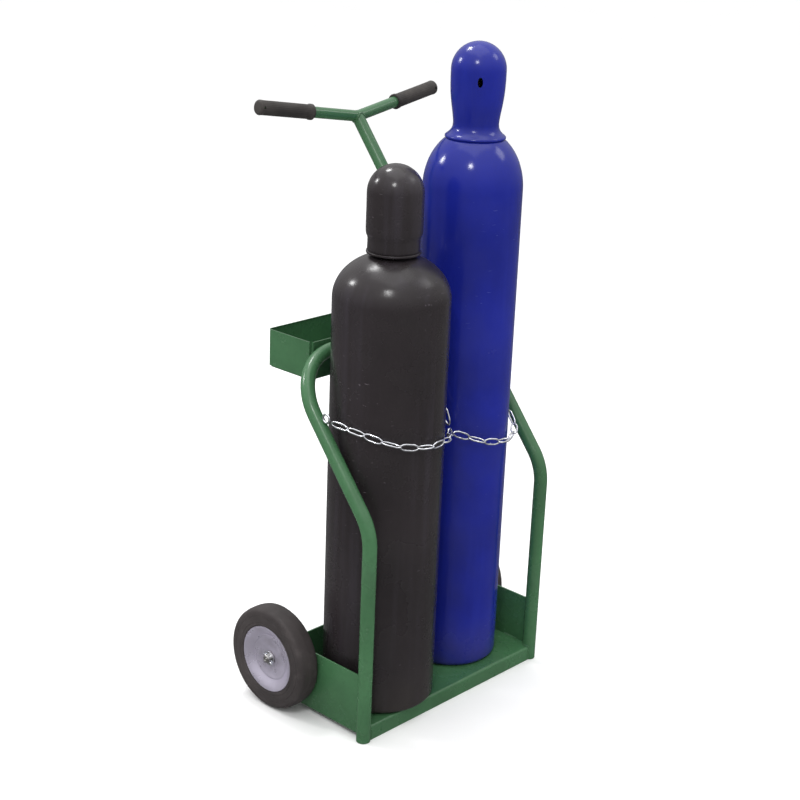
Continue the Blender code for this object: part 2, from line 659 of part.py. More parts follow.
def main():
    for old in list(bpy.data.objects):
        bpy.data.objects.remove(old, do_unlink=True)
    make_hoop()
    leg_tools = [cutter("leg_clearance_" + word, rod((side * LEG_X, 0, -0.05), (side * LEG_X, 0, 0.1), TUBE_R + 0.0004, 32))
                 for side, word in ((-1, "left"), (1, "right"))]
    make_floor(leg_tools)
    make_walls(cutter("axle_clearance", rod((-0.3, AXLE_Y, WHEEL_R), (0.3, AXLE_Y, WHEEL_R), AXLE_R + GAP, 32)))
    make_mast_and_handle()
    make_tray()
    make_axle()
    make_wheel(-1, "left")
    make_wheel(1, "right")
    make_acetylene()
    make_oxygen()
    make_chain()
    for piece in bpy.data.objects:
        piece.location.y -= ORIGIN_Y


main()
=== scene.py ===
"""Visual model of a two-cylinder torch cart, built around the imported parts.

Metres, in the row frame. Positions are laid out as in the CAD source, with y = 0 in the plane of the two
upright legs, and at() moves them to the row frame.
"""

import json
import math
import random

import bmesh
import bpy
from mathutils import Matrix, Vector, noise


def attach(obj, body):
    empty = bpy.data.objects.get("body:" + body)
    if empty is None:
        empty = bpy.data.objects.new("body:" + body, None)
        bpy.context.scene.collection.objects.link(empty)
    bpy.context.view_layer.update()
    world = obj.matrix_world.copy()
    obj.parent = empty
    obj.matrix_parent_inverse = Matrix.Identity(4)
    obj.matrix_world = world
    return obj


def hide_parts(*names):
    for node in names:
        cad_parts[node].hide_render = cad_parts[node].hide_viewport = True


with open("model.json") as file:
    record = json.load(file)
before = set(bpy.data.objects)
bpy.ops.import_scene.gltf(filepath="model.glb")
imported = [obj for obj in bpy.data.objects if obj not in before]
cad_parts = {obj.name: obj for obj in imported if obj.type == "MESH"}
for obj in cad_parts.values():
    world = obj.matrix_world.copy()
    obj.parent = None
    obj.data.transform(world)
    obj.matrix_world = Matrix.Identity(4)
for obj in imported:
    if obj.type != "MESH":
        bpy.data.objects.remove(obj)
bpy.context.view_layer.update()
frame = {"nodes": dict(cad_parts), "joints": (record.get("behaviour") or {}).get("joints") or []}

LAYOUT_Y = -0.1486                # where the legs' plane lies in the row frame
GAP = 0.0003                      # between neighbouring pieces
PLAY = 0.0002                     # between a turned piece and what runs through it

LEG_X = 0.229
TUBE_R = 0.0127
TUBE_WALL = 0.0018
KNEE_Z = 0.400
BAR_Y = 0.2075
BAR_Z = 0.6515
KNEE_BEND = 0.095
BAR_BEND = 0.105
SHEET = 0.003
FLOOR_TOP = 0.028
LIP_Y = -0.008
FOLD_R = 0.005                    # outside of the floor's folded front edge
WALL_LOW = 0.009
WALL_TOP = 0.123
WALL_CORNER = 0.011
REAR_Y = 0.1935
SIDE_REAR_Y = 0.223
SIDE_X = LEG_X - SHEET / 2
TRAY_X = 0.164
TRAY_REAR = 0.333
TRAY_LOW = 0.597
TRAY_TOP = 0.667
TRAY_SHEET = 0.002
MAST_R = 0.0111
MAST_WALL = 0.0016
MAST_Y = 0.182
MAST_BEND_Z = 0.909
MAST_BEND = 0.060
HANDLE_R = 0.0098
HANDLE_WALL = 0.0015
HANDLE_BEND = 0.060
HANDLE_HALF = 0.2130              # from the middle to the end of the handle tube, along x
GRIP_INNER_X = 0.103
GRIP_R = 0.0126
AXLE_R = 0.0079
AXLE_Y = 0.2047
AXLE_TIP = 0.2765
BORE_R = AXLE_R + PLAY
WHEEL_R = 0.096
WHEEL_W = 0.0435
WHEEL_X = 0.25475                 # middle of a wheel's width
RIM_R = 0.062
HUB_RECESS = 0.0085               # from the tyre's side down to the hub's end
HUB_HALF = 0.01325
WASHER = 0.0018
PIN_R = 0.0014
BOTTLE_R = {"acetylene": 0.1016, "oxygen": 0.0889}
NECK_BORE_R = 0.0122
CAP_R = 0.0480
CAP_WALL = 0.0030
VENT_R = 0.0045
VENT_STRETCH = 1.9                # height of a cap's vent over its width

joints = {joint["name"]: joint for joint in frame["joints"]}


def at(x, y, z):
    """A point of the layout, in the row frame."""
    return Vector((x, y + LAYOUT_Y, z))


def gas_axis(gas):
    spot = joints[gas + "_valve_turn"]["pos_m"]
    return spot[0], spot[1]


# ---------------------------------------------------------------- mesh helpers

def piece(name, builder, look, body, replaces=(), slot=None, sharp_deg=35.0, bevel=0.0, bevel_segments=2):
    """Turn a bmesh into a finished piece that rides on a CAD body."""
    bmesh.ops.recalc_face_normals(builder, faces=builder.faces)
    mesh = bpy.data.meshes.new(name)
    builder.to_mesh(mesh)
    builder.free()
    made = bpy.data.objects.new(name, mesh)
    bpy.context.scene.collection.objects.link(made)
    mesh.materials.append(look)
    if bevel:
        edge = made.modifiers.new("edges", "BEVEL")
        edge.width = bevel
        edge.segments = bevel_segments
        edge.limit_method = "ANGLE"
        edge.angle_limit = math.radians(40)
    mesh.shade_smooth()
    mesh.set_sharp_from_angle(angle=math.radians(sharp_deg))
    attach(made, body)
    if replaces:
        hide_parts(*replaces)
    return made


def bake_in(obj):
    """Apply an object's modifiers to its mesh."""
    graph = bpy.context.evaluated_depsgraph_get()
    solid = bpy.data.meshes.new_from_object(obj.evaluated_get(graph))
    old = obj.data
    obj.modifiers.clear()
    obj.data = solid
    bpy.data.meshes.remove(old)


def carve(builder, tools):
    """Cut other bmeshes out of a bmesh and hand back the result as a bmesh."""
    bodies = []
    for part in [builder] + tools:
        bmesh.ops.recalc_face_normals(part, faces=part.faces)
        mesh = bpy.data.meshes.new("carving")
        part.to_mesh(mesh)
        part.free()
        body = bpy.data.objects.new("carving", mesh)
        bpy.context.scene.collection.objects.link(body)
        bodies.append(body)
    for tool in bodies[1:]:
        change = bodies[0].modifiers.new("cut", "BOOLEAN")
        change.operation = "DIFFERENCE"
        change.object = tool
        change.solver = "EXACT"
    bake_in(bodies[0])
    result = bmesh.new()
    result.from_mesh(bodies[0].data)
    for body in bodies:
        mesh = body.data
        bpy.data.objects.remove(body)
        bpy.data.meshes.remove(mesh)
    return result


def around(u, v, angle):
    """Direction at this angle in the plane of u and v."""
    return u * math.cos(angle) + v * math.sin(angle)


def lathe(outline, steps, place=None):
    """Spin an (r, z) outline about Z. Points with r = 0 close the surface on the axis."""
    builder = bmesh.new()
    rings = []
    for r, z in outline:
        if r < 1e-7:
            rings.append([builder.verts.new((0, 0, z))])
        else:
            angles = [math.tau * k / steps for k in range(steps)]
            rings.append([builder.verts.new((r * math.cos(a), r * math.sin(a), z)) for a in angles])
    pairs = list(zip(rings, rings[1:]))
    if len(rings[0]) > 1 and len(rings[-1]) > 1:
        pairs.append((rings[-1], rings[0]))
    for low, high in pairs:
        for k in range(steps):
            after = (k + 1) % steps
            corners = [low[k % len(low)], low[after % len(low)], high[after % len(high)], high[k % len(high)]]
            unique = list(dict.fromkeys(corners))
            if len(unique) > 2:
                builder.faces.new(unique)
    if place is not None:
        bmesh.ops.transform(builder, matrix=place, verts=builder.verts)
    return builder


def arc(centre, radius, start_deg, end_deg, steps):
    """Points of a flat arc, both ends included."""
    points = []
    for i in range(steps + 1):
        angle = math.radians(start_deg + (end_deg - start_deg) * i / steps)
        points.append((centre[0] + radius * math.cos(angle), centre[1] + radius * math.sin(angle)))
    return points


def rounded_path(corners, radii, steps=12):
    """Straight runs joined by tangent arcs."""
    path = [Vector(corners[0])]
    for before, corner, after, radius in zip(corners, corners[1:], corners[2:], radii):
        corner = Vector(corner)
        towards = (Vector(before) - corner).normalized()
        onwards = (Vector(after) - corner).normalized()
        half = towards.angle(onwards) / 2
        centre = corner + (towards + onwards).normalized() * (radius / math.sin(half))
        start = corner + towards * (radius / math.tan(half))
        turn = math.pi - 2 * half
        normal = onwards.cross(towards).normalized()
        for i in range(steps + 1):
            path.append(centre + Matrix.Rotation(turn * i / steps, 3, normal) @ (start - centre))
    path.append(Vector(corners[-1]))
    return path


def smooth_route(points, steps):
    """Catmull-Rom curve through the points."""
    points = [Vector(p) for p in points]
    padded = [2 * points[0] - points[1]] + points + [2 * points[-1] - points[-2]]
    route = []
    for a, b, c, d in zip(padded, padded[1:], padded[2:], padded[3:]):
        for i in range(steps):
            t = i / steps
            route.append(0.5 * (2 * b + (c - a) * t + (2 * a - 5 * b + 4 * c - d) * t ** 2
                                + (3 * b - a - 3 * c + d) * t ** 3))
    return route + [points[-1]]


def tube(path, radius, sides=28, wall=0.0, closed=False, builder=None, side_axis=None):
    """Round tube along a path. radius is a number or one number per point. wall > 0 leaves open ends."""
    builder = builder or bmesh.new()
    path = [Vector(p) for p in path]
    count = len(path)
    radii = radius if isinstance(radius, (list, tuple)) else [radius] * count
    frames = []
    axis = Vector(side_axis) if side_axis else Vector((0.3, 0.2, 0.93)).cross(path[1] - path[0])
    for i, point in enumerate(path):
        before = path[i - 1] if i or closed else point - (path[1] - point)
        after = path[(i + 1) % count] if i < count - 1 or closed else point + (point - path[i - 1])
        ahead = ((point - before).normalized() + (after - point).normalized()).normalized()
        axis = (axis - ahead * ahead.dot(axis)).normalized()
        frames.append((point, axis, ahead.cross(axis)))

    def loops(shrink):
        angles = [math.tau * k / sides for k in range(sides)]
        return [[builder.verts.new(p + around(u, v, a) * (r - shrink)) for a in angles]
                for (p, u, v), r in zip(frames, radii)]

    def skin(rings):
        for low, high in list(zip(rings, rings[1:])) + ([(rings[-1], rings[0])] if closed else []):
            for k in range(sides):
                builder.faces.new((low[k], low[(k + 1) % sides], high[(k + 1) % sides], high[k]))

    outer = loops(0.0)
    skin(outer)
    if wall:
        inner = loops(wall)
        skin(inner)
        for ring, other in ((outer[0], inner[0]), (outer[-1], inner[-1])):
            for k in range(sides):
                builder.faces.new((ring[k], ring[(k + 1) % sides], other[(k + 1) % sides], other[k]))
    elif not closed:
        builder.faces.new(outer[0])
        builder.faces.new(outer[-1])
    return builder


def rod(low, high, radius, sides=24):
    return tube([low, high], radius, sides)


def block(low, high):
    builder = bmesh.new()
    bmesh.ops.create_cube(builder, size=1.0)
    bmesh.ops.scale(builder, vec=[b - a for a, b in zip(low, high)], verts=builder.verts)
    bmesh.ops.translate(builder, vec=[(a + b) / 2 for a, b in zip(low, high)], verts=builder.verts)
    return builder


def prism(outline, place, depth):
    """Flat outline pushed out along its normal, then placed."""
    builder = bmesh.new()
    face = builder.faces.new([builder.verts.new((x, y, 0)) for x, y in outline])
    pushed = bmesh.ops.extrude_face_region(builder, geom=[face])
    moved = [item for item in pushed["geom"] if isinstance(item, bmesh.types.BMVert)]
    bmesh.ops.translate(builder, vec=(0, 0, depth), verts=moved)
    bmesh.ops.transform(builder, matrix=place, verts=builder.verts)
    return builder


def resample(path, spacing):
    """Points about this far apart along a polyline."""
    path = [Vector(p) for p in path]
    total = sum((b - a).length for a, b in zip(path, path[1:]))
    count = max(2, round(total / spacing))
    goals = [total * i / count for i in range(count + 1)]
    found = []
    run = 0.0
    index = 0
    for goal in goals:
        while index < len(path) - 2 and run + (path[index + 1] - path[index]).length < goal:
            run += (path[index + 1] - path[index]).length
            index += 1
        span = (path[index + 1] - path[index]).length
        found.append(path[index].lerp(path[index + 1], min(1.0, (goal - run) / max(span, 1e-9))))
    return found


def bead(path, size, seed, builder=None, closed=False):
    """Weld bead: a lumpy line with overlapping ripples."""
    points = resample(path, size * 0.28)
    if closed:
        points = points[:-1]
    radii = []
    for i, point in enumerate(points):
        ripple = 0.86 + 0.14 * ((i % 4) / 3.0)
        lump = 1.0 + 0.22 * noise.noise(point * 160 + Vector((seed, 0, 0)))
        end = 1.0 if closed else min(1.0, 0.35 + 0.22 * min(i, len(points) - 1 - i))
        radii.append(size * ripple * lump * end)
    return tube(points, radii, 8, closed=closed, builder=builder)


# ---------------------------------------------------------------- materials

class Look:
    """A small builder for one procedural material."""

    def __init__(self, name):
        self.material = bpy.data.materials.new(name)
        self.material.use_nodes = True
        self.tree = self.material.node_tree
        self.shader = self.tree.nodes["Principled BSDF"]
        self.coords = self.tree.nodes.new("ShaderNodeTexCoord").outputs["Object"]

    def node(self, kind, inputs=None, **settings):
        made = self.tree.nodes.new(kind)
        for key, value in settings.items():
            setattr(made, key, value)
        for key, value in (inputs or {}).items():
            self.feed(made.inputs[key], value)
        return made

    def feed(self, socket, value):
        if isinstance(value, bpy.types.NodeSocket):
            self.tree.links.new(value, socket)
        elif isinstance(value, tuple) and len(value) == 3 and socket.type == "RGBA":
            socket.default_value = (*value, 1.0)
        else:
            socket.default_value = value

    def set(self, **values):
        for key, value in values.items():
            self.feed(self.shader.inputs[key.replace("_", " ")], value)
        return self

    def stretched(self, scale):
        return self.node("ShaderNodeMapping", {"Vector": self.coords, "Scale": scale}).outputs["Vector"]

    def noise(self, scale, detail=3.0, rough=0.5, vector=None):
        inputs = {"Vector": vector or self.coords, "Scale": scale, "Detail": detail, "Roughness": rough}
        return self.node("ShaderNodeTexNoise", inputs).outputs["Fac"]

    def voronoi(self, scale):
        return self.node("ShaderNodeTexVoronoi", {"Vector": self.coords, "Scale": scale}).outputs["Distance"]

    def ramp(self, factor, low, high, from_low=0.0, from_high=1.0):
        """Map a range of a factor smoothly to another range."""
        limits = {"Value": factor, "From Min": from_low, "From Max": from_high, "To Min": low, "To Max": high}
        return self.node("ShaderNodeMapRange", limits, interpolation_type="SMOOTHSTEP").outputs["Result"]

    def mix(self, factor, first, second):
        made = self.node("ShaderNodeMix", data_type="RGBA")
        self.feed(made.inputs["Factor"], factor)
        self.feed(made.inputs[6], first)
        self.feed(made.inputs[7], second)
        return made.outputs[2]

    def sum(self, first, second, operation="ADD"):
        return self.node("ShaderNodeMath", {0: first, 1: second}, operation=operation).outputs[0]

    def height(self):
        return self.node("ShaderNodeSeparateXYZ", {"Vector": self.coords}).outputs[2]

    def bump(self, height, strength, distance, normal=None):
        made = self.node("ShaderNodeBump", {"Height": height, "Strength": strength, "Distance": distance})
        if normal is not None:
            self.tree.links.new(normal, made.inputs["Normal"])
        return made.outputs["Normal"]


def tint(colour, factor):
    return tuple(min(1.0, c * factor) for c in colour)


def enamel(name, colour, roughness, peel, chips):
    """Sprayed enamel: uneven tone, orange peel, dulled patches and a few chips."""
    look = Look(name)
    tone = look.noise(7.0, 4.0)
    patchy = look.mix(look.ramp(tone, 0.0, 1.0, 0.3, 0.7), tint(colour, 0.84), tint(colour, 1.14))
    fine = look.noise(130.0, 5.0, 0.6)
    mottled = look.mix(look.ramp(fine, 0.0, 0.35, 0.45, 0.75), patchy, tint(colour, 0.72))
    chip_map = look.noise(58.0, 6.0, 0.62)
    gate = look.noise(9.0, 2.0)
    chip = look.sum(look.ramp(chip_map, 0.0, 1.0, 0.685, 0.70), look.ramp(gate, 0.0, 1.0, 0.50, 0.62),
                    "MULTIPLY")
    chip = look.sum(chip, chips, "MULTIPLY")
    painted = look.mix(chip, mottled, (0.35, 0.34, 0.33))
    dull = look.noise(16.0, 5.0, 0.6)
    rough = look.ramp(dull, roughness * 0.78, min(1.0, roughness * 1.45), 0.3, 0.75)
    rough = look.sum(rough, look.sum(chip, 0.35, "MULTIPLY"))
    skin = look.bump(look.noise(420.0, 2.0), 0.10 * peel, 0.0006)
    waves = look.bump(look.noise(38.0, 3.0), 0.22 * peel, 0.0014, skin)
    worn = look.bump(chip, 0.4, -0.0004, waves)
    look.set(Base_Color=painted, Roughness=rough, Normal=worn)
    look.shader.inputs["Specular IOR Level"].default_value = 0.42
    return look.material


def gas_paint(name, colour, edge, roughness, scuff_colour, dent):
    """Hand-painted cylinder enamel: lighter vertical streaks of painted sheen, handling scuffs round the
    belly and grime at the foot.
    """
    look = Look(name)
    tone = look.noise(5.0, 4.0)
    base = look.mix(look.ramp(tone, 0.0, 1.0, 0.3, 0.7), tint(colour, 0.82), tint(colour, 1.2))
    # painted sheen: long vertical streaks mixed towards the lighter, bluer edge colour stand in for
    # reflections running down the cylinder
    sheen_streaks = look.noise(1.0, 5.0, 0.55, look.stretched((30.0, 30.0, 1.5)))
    base = look.mix(look.ramp(sheen_streaks, 0.0, 0.42, 0.48, 0.78), base, edge)
    foot = look.ramp(look.height(), 0.55, 0.0, 0.03, 0.13)
    grime = look.sum(foot, look.noise(24.0, 5.0, 0.6), "MULTIPLY")
    base = look.mix(grime, base, (0.045, 0.038, 0.032))
    scratch = look.noise(1.0, 3.0, 0.5, look.stretched((60.0, 60.0, 420.0)))
    belly = look.noise(6.5, 3.0)
    ring = look.sum(look.ramp(scratch, 0.0, 1.0, 0.70, 0.73), look.ramp(belly, 0.0, 0.8, 0.50, 0.64),
                    "MULTIPLY")
    spots = look.sum(look.ramp(look.noise(70.0, 6.0, 0.65), 0.0, 1.0, 0.70, 0.72),
                     look.ramp(belly, 0.0, 0.9, 0.46, 0.60), "MULTIPLY")
    mark = look.sum(ring, spots, "MAXIMUM")
    base = look.mix(look.sum(mark, 0.55, "MULTIPLY"), base, scuff_colour)
    dull = look.noise(11.0, 6.0, 0.6)
    rough = look.ramp(dull, roughness * 0.7, min(1.0, roughness * 1.55), 0.3, 0.75)
    rough = look.sum(rough, look.sum(mark, 0.3, "MULTIPLY"))
    rough = look.sum(rough, look.sum(grime, 0.4, "MULTIPLY"))
    peel = look.bump(look.noise(330.0, 2.0), 0.10, 0.0006)
    brush = look.bump(look.noise(1.0, 4.0, 0.6, look.stretched((90.0, 90.0, 4.0))), 0.18, 0.0008, peel)
    dents = look.bump(look.noise(17.0, 3.0), 0.32 * dent, 0.0022, brush)
    look.set(Base_Color=base, Roughness=rough, Normal=look.bump(mark, 0.3, -0.0003, dents))
    look.shader.inputs["Specular IOR Level"].default_value = 0.34
    return look.material


def rubber(name, colour, grain, roughness):
    """Dusty moulded rubber."""
    look = Look(name)
    patches = look.ramp(look.noise(12.0, 5.0), 0.0, 1.0, 0.3, 0.7)
    tone = look.mix(patches, tint(colour, 0.8), tint(colour, 1.25))
    dust = look.sum(look.ramp(look.noise(34.0, 6.0, 0.65), 0.0, 1.0, 0.5, 0.75), 0.35, "MULTIPLY")
    tone = look.mix(dust, tone, tint(colour, 2.4))
    rough = look.ramp(look.noise(25.0, 4.0), roughness - 0.12, roughness + 0.15, 0.3, 0.7)
    fine = look.bump(look.noise(grain, 4.0, 0.6), 0.25, 0.0005)
    look.set(Base_Color=tone, Roughness=rough, Normal=look.bump(look.noise(60.0, 3.0), 0.15, 0.0008, fine))
    look.shader.inputs["Specular IOR Level"].default_value = 0.25
    return look.material


def plated(name, colour, roughness, stain=(0.30, 0.27, 0.22)):
    """Plated or bare metal: crystalline variation and a little tarnish."""
    look = Look(name)
    cells = look.voronoi(160.0)
    base = look.mix(look.ramp(cells, 0.0, 1.0, 0.0, 0.9), tint(colour, 0.82), tint(colour, 1.1))
    tarnish = look.sum(look.ramp(look.noise(40.0, 6.0, 0.6), 0.0, 1.0, 0.52, 0.78), 0.35, "MULTIPLY")
    base = look.mix(tarnish, base, stain)
    rough = look.ramp(look.noise(90.0, 4.0), roughness * 0.7, roughness * 1.5, 0.3, 0.7)
    look.set(Base_Color=base, Roughness=rough, Metallic=1.0,
             Normal=look.bump(look.noise(260.0, 3.0), 0.2, 0.0003))
    return look.material


def wheel_paint(name, colour):
    """Silver-lavender enamel on a spun disc, with faint spinning rings and patches darker towards the hub."""
    look = Look(name)
    centre = (0.0, *joints["left_wheel_spin"]["pos_m"][1:])
    moved = look.node("ShaderNodeVectorMath", {0: look.coords, 1: centre}, operation="SUBTRACT")
    flat = look.node("ShaderNodeVectorMath", {0: moved.outputs[0], 1: (0.0, 1.0, 1.0)}, operation="MULTIPLY")
    radius = look.node("ShaderNodeVectorMath", {0: flat.outputs[0]}, operation="LENGTH").outputs["Value"]
    waves = look.sum(radius, 2600.0, "MULTIPLY")
    rings = look.node("ShaderNodeMath", {0: waves}, operation="SINE").outputs[0]
    patches = look.ramp(look.noise(14.0, 5.0), 0.0, 1.0, 0.3, 0.7)
    tone = look.mix(patches, tint(colour, 0.85), tint(colour, 1.12))
    # patches of darker colour over the recessed centre of the disc, towards the hub
    towards_hub = look.ramp(radius, 0.55, 0.05, 0.010, 0.045)
    darker_centre = look.sum(towards_hub, look.ramp(look.noise(48.0, 6.0, 0.65), 0.0, 1.0, 0.4, 0.75), "MULTIPLY")
    tone = look.mix(darker_centre, tone, (0.10, 0.09, 0.09))
    rough = look.ramp(look.noise(30.0, 5.0), 0.24, 0.42, 0.3, 0.7)
    ringed = look.bump(rings, 0.12, 0.0002)
    look.set(Base_Color=tone, Roughness=rough, Metallic=0.55,
             Normal=look.bump(look.noise(300.0, 2.0), 0.12, 0.0004, ringed))
    return look.material


def nylon(name):
    look = Look(name)
    tone = look.mix(look.noise(60.0, 4.0), (0.62, 0.60, 0.55), (0.80, 0.79, 0.75))
    look.set(Base_Color=tone, Roughness=look.ramp(look.noise(90.0, 3.0), 0.4, 0.6),
             Normal=look.bump(look.noise(300.0), 0.1, 0.0003))
    return look.material


GREEN = enamel("green_enamel", (0.045, 0.128, 0.056), 0.24, peel=1.0, chips=0.30)
WELD = enamel("green_weld", (0.039, 0.114, 0.048), 0.30, peel=1.6, chips=0.15)
# edge is the lighter colour of each cylinder's painted sheen streaks
BLACK_GAS = gas_paint("acetylene_enamel", (0.0190, 0.0155, 0.0170), edge=(0.044, 0.038, 0.050),
                      roughness=0.24, scuff_colour=(0.20, 0.17, 0.20), dent=1.0)
BLUE_GAS = gas_paint("oxygen_enamel", (0.008, 0.014, 0.200), edge=(0.014, 0.024, 0.270), roughness=0.18,
                     scuff_colour=(0.06, 0.08, 0.32), dent=0.8)
TYRE = rubber("tyre_rubber", (0.040, 0.034, 0.034), 700.0, 0.62)
GRIP = rubber("grip_rubber", (0.034, 0.030, 0.028), 900.0, 0.55)
DISC = wheel_paint("disc_enamel", (0.48, 0.45, 0.545))
ZINC = plated("bright_zinc", (0.78, 0.79, 0.84), 0.20)
STEEL = plated("turned_steel", (0.50, 0.49, 0.48), 0.30, stain=(0.16, 0.11, 0.08))
BRASS = plated("valve_brass", (0.72, 0.50, 0.20), 0.28, stain=(0.30, 0.18, 0.07))
NYLON = nylon("bush_nylon")


# ---------------------------------------------------------------- frame

def green_piece(name, builder, node, **more):
    piece(name, builder, GREEN, "cart_frame", [node], "green_paint", **more)


def weld_piece(name, builder, **more):
    piece(name, builder, WELD, "cart_frame", slot="green_paint", **more)


def zinc_piece(name, builder, node, **more):
    piece(name, builder, ZINC, "cart_frame", [node], "zinc_plate", **more)


def leg_point(side, z):
    """Middle of a leg at this height, upright below the knee and leaning back above it."""
    lean = BAR_Y / (BAR_Z - KNEE_Z)
    return at(side * LEG_X, max(0.0, (z - KNEE_Z) * lean), z)


def make_frame():
    corners = [at(-LEG_X, 0, 0), at(-LEG_X, 0, KNEE_Z), at(-LEG_X, BAR_Y, BAR_Z),
               at(LEG_X, BAR_Y, BAR_Z), at(LEG_X, 0, KNEE_Z), at(LEG_X, 0, 0)]
    path = rounded_path(corners, [KNEE_BEND, BAR_BEND, BAR_BEND, KNEE_BEND], 16)
    hoop = tube(path, TUBE_R, 36, wall=TUBE_WALL, side_axis=(0, -1, 0))
    green_piece("frame_tube", hoop, "frame_hoop", bevel=0.0004, bevel_segments=1)


def make_base():
    fold = (LIP_Y + FOLD_R, FLOOR_TOP - FOLD_R)
    outline = [(LIP_Y, 0.0)] + arc(fold, FOLD_R, 180, 90, 8)
    outline += [(REAR_Y - GAP, FLOOR_TOP), (REAR_Y - GAP, FLOOR_TOP - SHEET)]
    outline += arc(fold, FOLD_R - SHEET, 90, 180, 6) + [(LIP_Y + SHEET, 0.0)]
    half = SIDE_X - GAP
    across = Matrix(((0, 0, 1, -half), (1, 0, 0, LAYOUT_Y), (0, 1, 0, 0), (0, 0, 0, 1)))
    floor = prism(outline, across, 2 * half)
    legs = [rod(at(side * LEG_X, 0, -0.05), at(side * LEG_X, 0, 0.1), TUBE_R + 0.0004, 48)
            for side in (-1, 1)]
    green_piece("base_floor", carve(floor, legs), "floor_plate", bevel=0.0005)
    rear = block(at(-half, REAR_Y, WALL_LOW), at(half, REAR_Y + SHEET, WALL_TOP))
    green_piece("base_rear_wall", rear, "rear_plate", bevel=0.0006)
    for side, word in ((-1, "left"), (1, "right")):
        near, far = sorted((side * SIDE_X, side * (SIDE_X + SHEET)))
        wall = block(at(near, TUBE_R + GAP, WALL_LOW), at(far, SIDE_REAR_Y, WALL_TOP))
        corners = [e for e in wall.edges if abs((e.verts[0].co - e.verts[1].co).x) > SHEET * 0.9
                   and e.verts[0].co.y > LAYOUT_Y + REAR_Y]
        bmesh.ops.bevel(wall, geom=corners, offset=WALL_CORNER, segments=8, affect="EDGES")
        hole = rod(at(side * 0.2, AXLE_Y, WHEEL_R), at(side * 0.26, AXLE_Y, WHEEL_R), AXLE_R + GAP, 40)
        green_piece(word + "_base_wall", carve(wall, [hole]), word + "_side_plate", bevel=0.0006)


def tray_block(low, high, corner, edge):
    """Box with rounded upright corners and a rounded bottom edge."""
    builder = block(low, high)
    tall = (high[2] - low[2]) * 0.9
    upright = [e for e in builder.edges if abs((e.verts[0].co - e.verts[1].co).z) > tall]
    bmesh.ops.bevel(builder, geom=upright, offset=corner, segments=6, affect="EDGES")
    base = [e for e in builder.edges if max(v.co.z for v in e.verts) < low[2] + 1e-5]
    bmesh.ops.bevel(builder, geom=base, offset=edge, segments=4, affect="EDGES")
    return builder


def make_tray():
    """Open box: a smaller block, which reaches above the rim, is cut out of a larger one."""
    front = BAR_Y + TUBE_R + GAP
    thick = TRAY_SHEET
    outer = tray_block(at(-TRAY_X, front, TRAY_LOW), at(TRAY_X, TRAY_REAR, TRAY_TOP), 0.005, 0.003)
    low = at(-TRAY_X + thick, front + thick, TRAY_LOW + thick)
    inner = tray_block(low, at(TRAY_X - thick, TRAY_REAR - thick, 0.70), 0.003, 0.001)
    green_piece("tray_box", carve(outer, [inner]), "tool_tray", bevel=0.0004)


HANDLE_MID = at(0.0, 0.2866, 1.0374)


def handle_end(side):
    return at(side * HANDLE_HALF, 0.3067, 1.0683)


def make_mast():
    """Mast and handle tube, with a weld that follows the line where the two meet."""
    corners = [at(0, MAST_Y, FLOOR_TOP + GAP), at(0, MAST_Y, MAST_BEND_Z), HANDLE_MID]
    path = rounded_path(corners, [MAST_BEND], 14)
    bar_path = rounded_path([handle_end(-1), HANDLE_MID, handle_end(1)], [HANDLE_BEND], 12)
    mast = tube(path, MAST_R, 36, wall=MAST_WALL, side_axis=(1, 0, 0))
    mast = carve(mast, [tube(bar_path, HANDLE_R + GAP, 48)])
    green_piece("mast", mast, "mast_tube")
    green_piece("handle_tube", tube(bar_path, HANDLE_R, 36, wall=HANDLE_WALL), "handle_bar")
    lean = (HANDLE_MID - at(0, MAST_Y, MAST_BEND_Z)).normalized()
    across = Vector((1, 0, 0))
    up = lean.cross(across)
    line = resample(bar_path, 0.004)
    seam = []
    for k in range(40):
        spot = HANDLE_MID + around(across, up, math.tau * k / 40) * (MAST_R - 0.0006)
        for _ in range(400):
            if min((spot - p).length for p in line) > HANDLE_R + 0.0002:
                break
            spot = spot - lean * 0.0003
        seam.append(spot)
    weld_piece("handle_weld", bead(seam + [seam[0]], 0.0023, 3.0, closed=True))


